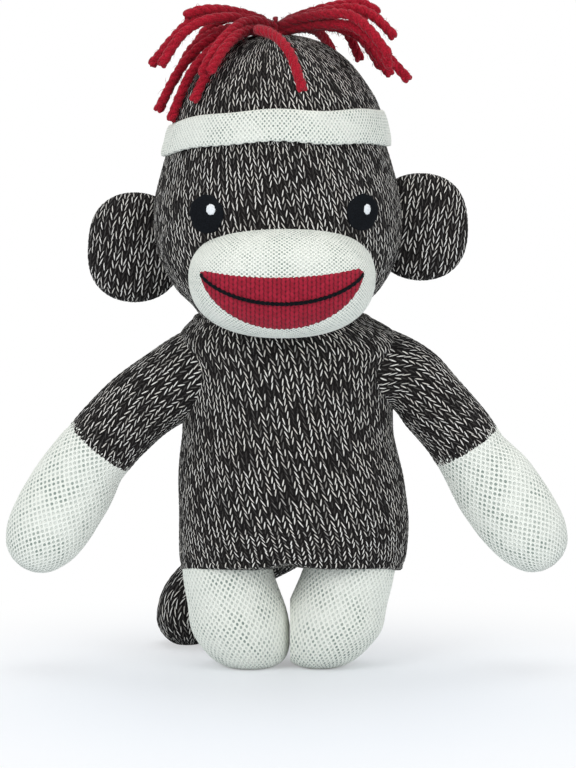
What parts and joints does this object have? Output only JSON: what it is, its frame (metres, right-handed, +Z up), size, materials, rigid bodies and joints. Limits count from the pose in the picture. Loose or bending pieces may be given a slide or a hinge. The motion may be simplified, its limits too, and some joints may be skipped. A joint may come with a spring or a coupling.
{
  "type": "sock monkey doll",
  "caption": "Small stuffed sock monkey doll in marled and cream knit, with a yarn-topped hat, red mouth, floppy ears, swinging arms and legs, and a tail.",
  "frame": {"origin": "on the floor under the middle of the doll's bounding box", "axes": "+Z up; -Y is the way the doll faces; +X is the doll's own left side, the right of a front view"},
  "size_m": [0.1733, 0.0946, 0.2073],
  "materials": {
    "marled_knit": "matt stocking-stitch knit, near-black flecked with cream",
    "cream_knit": "matt fine knit, off-white",
    "red_knit": "matt fine knit, crimson",
    "red_yarn": "fuzzy plied crimson yarn",
    "black_thread": "satin black embroidery thread",
    "white_thread": "satin white embroidery thread",
    "stuffing": "loose white polyester fibre"
  },
  "bodies": {
    "torso": {"torso_skin": "marled_knit", "torso_stuffing": "stuffing", "neck_stuffing": "stuffing"},
    "head": {"head_skin": "marled_knit", "head_stuffing": "stuffing", "hat_crown": "marled_knit", "hat_cuff": "cream_knit", "muzzle_skin": "cream_knit", "muzzle_stuffing": "stuffing", "mouth_patch": "red_knit", "smile_line": "black_thread", "eye_left": "black_thread", "eye_right": "black_thread", "eye_spot_left": "white_thread", "eye_spot_right": "white_thread", "tuft_yarn_1": "red_yarn", "tuft_yarn_2": "red_yarn", "tuft_yarn_3": "red_yarn", "tuft_yarn_4": "red_yarn", "tuft_yarn_5": "red_yarn", "tuft_yarn_6": "red_yarn", "tuft_yarn_7": "red_yarn", "tuft_yarn_8": "red_yarn", "tuft_yarn_9": "red_yarn", "tuft_yarn_10": "red_yarn", "tuft_yarn_11": "red_yarn", "tuft_tie": "red_yarn"},
    "ear_left": {"ear_left_skin": "marled_knit", "ear_left_stuffing": "stuffing"},
    "arm_left": {"arm_left_skin": "marled_knit", "arm_left_stuffing": "stuffing"},
    "hand_left": {"hand_left_skin": "cream_knit", "hand_left_stuffing": "stuffing"},
    "leg_left": {"hip_left_skin": "marled_knit", "foot_left_skin": "cream_knit", "leg_left_stuffing": "stuffing"},
    "ear_right": {"ear_right_skin": "marled_knit", "ear_right_stuffing": "stuffing"},
    "arm_right": {"arm_right_skin": "marled_knit", "arm_right_stuffing": "stuffing"},
    "hand_right": {"hand_right_skin": "cream_knit", "hand_right_stuffing": "stuffing"},
    "leg_right": {"hip_right_skin": "marled_knit", "foot_right_skin": "cream_knit", "leg_right_stuffing": "stuffing"},
    "tail": {"tail_skin": "marled_knit", "tail_stuffing": "stuffing"}
  },
  "joints": [
    {"name": "neck_turn", "type": "hinge", "parent": "torso", "child": "head", "pos_m": [-0.0037, 0, 0.1462], "axis": [0, 0, 1], "range_deg": [-30, 30]},
    {"name": "ear_left_flop", "type": "hinge", "parent": "head", "child": "ear_left", "pos_m": [-0.0407, 0.002, 0.131], "axis": [0, 0, 1], "range_deg": [-18, 18]},
    {"name": "shoulder_left_raise", "type": "hinge", "parent": "torso", "child": "arm_left", "pos_m": [-0.037, 0, 0.088], "axis": [0, 1, 0], "range_deg": [0, 50]},
    {"name": "wrist_left_bend", "type": "hinge", "parent": "arm_left", "child": "hand_left", "pos_m": [-0.06193, 0, 0.06555], "axis": [0, 1, 0], "range_deg": [-25, 25]},
    {"name": "hip_left_swing", "type": "hinge", "parent": "torso", "child": "leg_left", "pos_m": [-0.0193, 0, 0.0325], "axis": [-1, 0, 0], "range_deg": [0, 75]},
    {"name": "ear_right_flop", "type": "hinge", "parent": "head", "child": "ear_right", "pos_m": [0.0333, 0.002, 0.1375], "axis": [0, 0, 1], "range_deg": [-18, 18]},
    {"name": "shoulder_right_raise", "type": "hinge", "parent": "torso", "child": "arm_right", "pos_m": [0.037, 0, 0.088], "axis": [0, -1, 0], "range_deg": [0, 50]},
    {"name": "wrist_right_bend", "type": "hinge", "parent": "arm_right", "child": "hand_right", "pos_m": [0.05856, 0, 0.06513], "axis": [0, -1, 0], "range_deg": [-25, 25]},
    {"name": "hip_right_swing", "type": "hinge", "parent": "torso", "child": "leg_right", "pos_m": [0.0193, 0, 0.0325], "axis": [-1, 0, 0], "range_deg": [0, 75]},
    {"name": "tail_swing", "type": "hinge", "parent": "torso", "child": "tail", "pos_m": [0, 0.0205, 0.0385], "axis": [0, 0, -1], "range_deg": [0, 80]}
  ]
}
